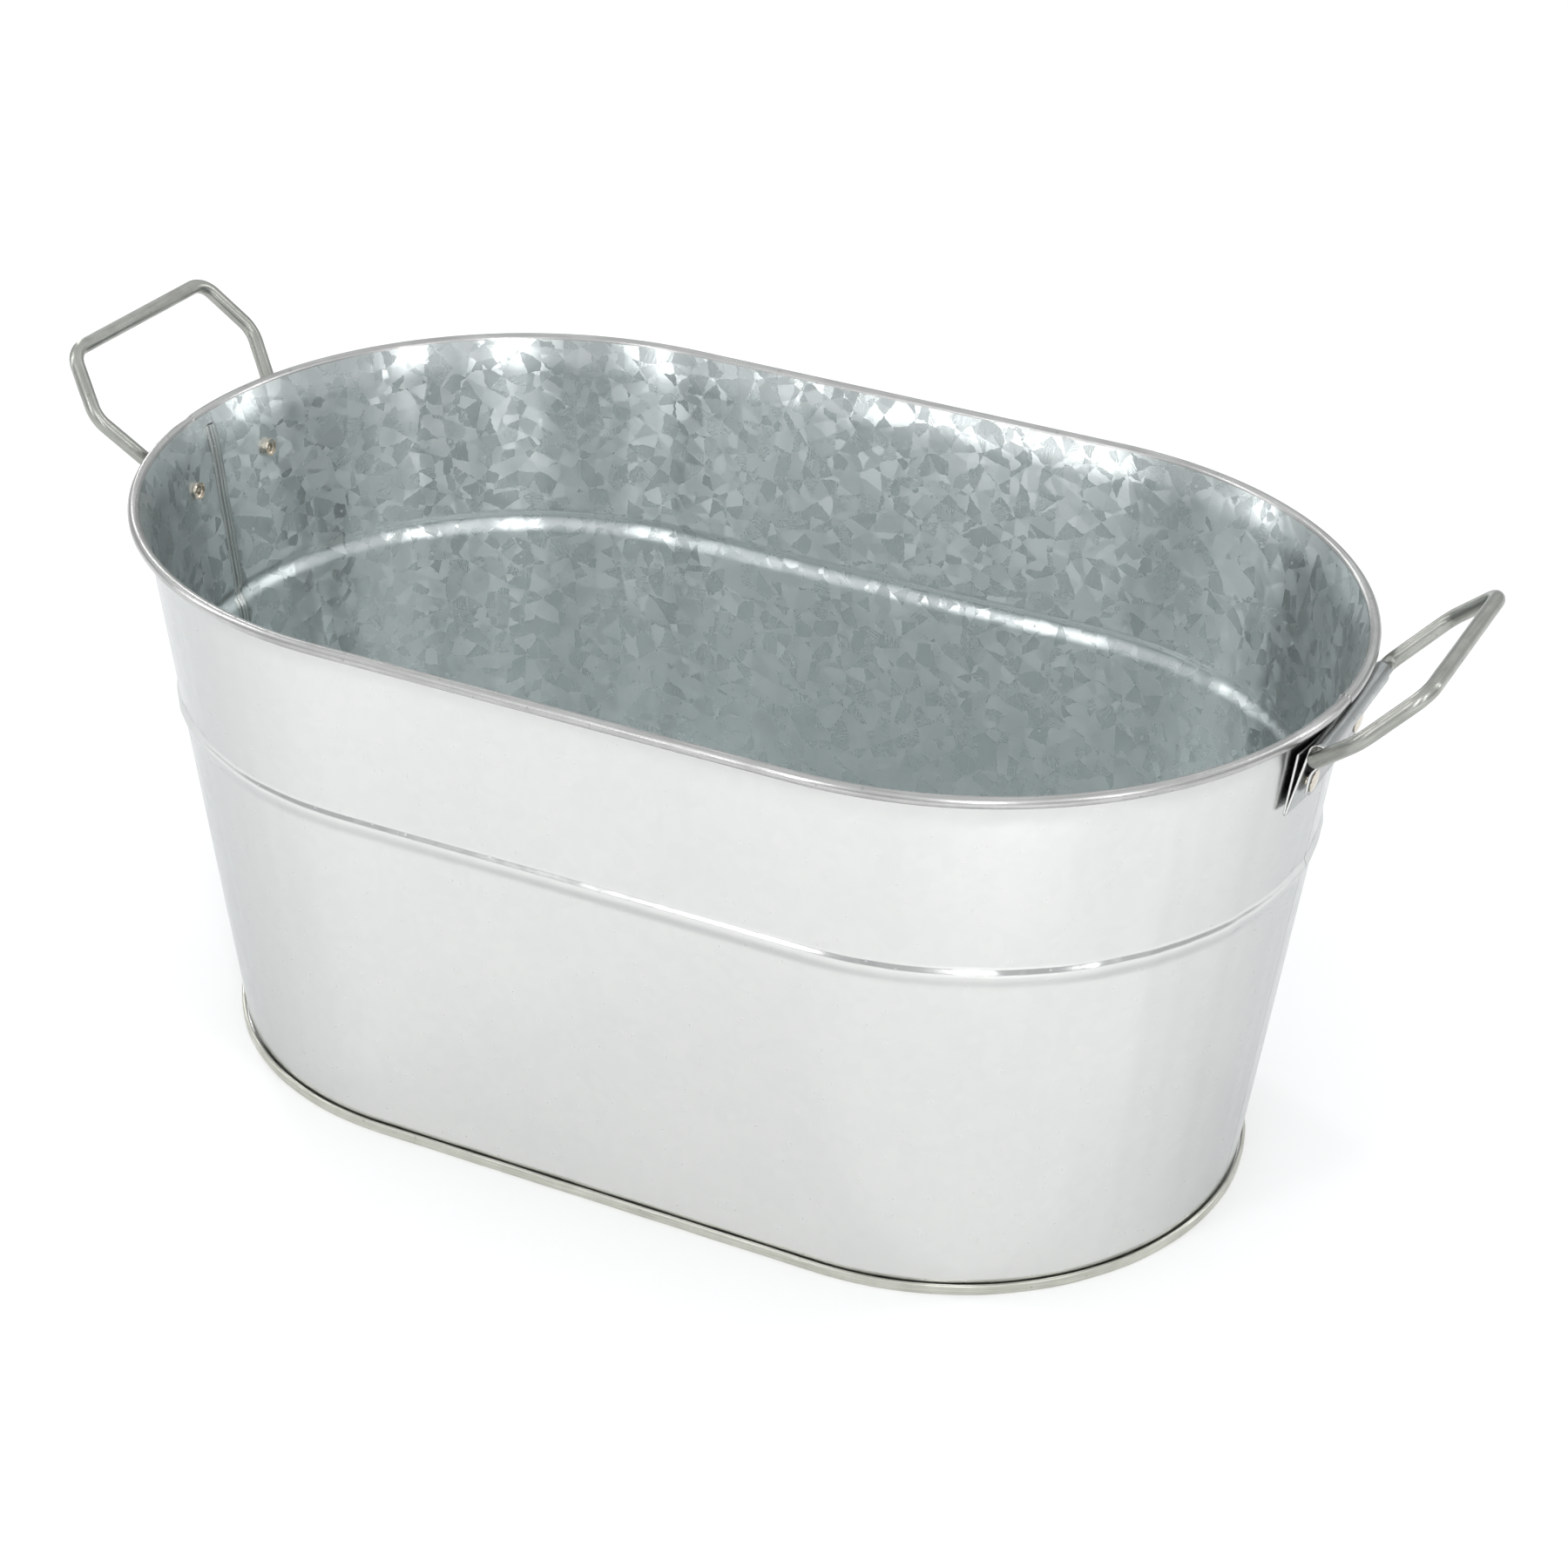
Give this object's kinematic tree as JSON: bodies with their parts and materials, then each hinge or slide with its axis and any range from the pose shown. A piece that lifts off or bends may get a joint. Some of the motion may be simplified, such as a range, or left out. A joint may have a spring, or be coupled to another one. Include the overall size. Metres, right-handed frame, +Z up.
{
  "type": "oval galvanised tub",
  "caption": "Oval galvanised steel tub with a rolled rim, a pressed bead and a hinged wire handle at each end, for water or feed.",
  "frame": {"origin": "centre of the ring that the tub stands on, at ground level", "axes": "+X along the oval's long axis, from the left handle to the right handle; +Z up; -Y is the front"},
  "size_m": [0.6108, 0.324, 0.2854],
  "materials": {
    "galvanised_sheet": "satin spangle",
    "handle_wire": "satin",
    "rivet": "satin nickel"
  },
  "bodies": {
    "tub": {"front_wall": "galvanised_sheet", "back_wall": "galvanised_sheet", "floor_pan": "galvanised_sheet", "rim_wire": "handle_wire", "left_bracket": "galvanised_sheet", "right_bracket": "galvanised_sheet", "left_front_rivet": "rivet", "left_back_rivet": "rivet", "right_front_rivet": "rivet", "right_back_rivet": "rivet"},
    "left_handle": {"left_handle": "handle_wire"},
    "right_handle": {"right_handle": "handle_wire"}
  },
  "joints": [
    {"name": "left_handle_swing", "type": "hinge", "parent": "tub", "child": "left_handle", "pos_m": [-0.26248, 0.00786, 0.2385], "axis": [0.0492, 0.9988, 0], "range_deg": [-146, 41]},
    {"name": "right_handle_swing", "type": "hinge", "parent": "tub", "child": "right_handle", "pos_m": [0.26268, 0, 0.2385], "axis": [0, -1, 0], "range_deg": [-140, 46]}
  ]
}
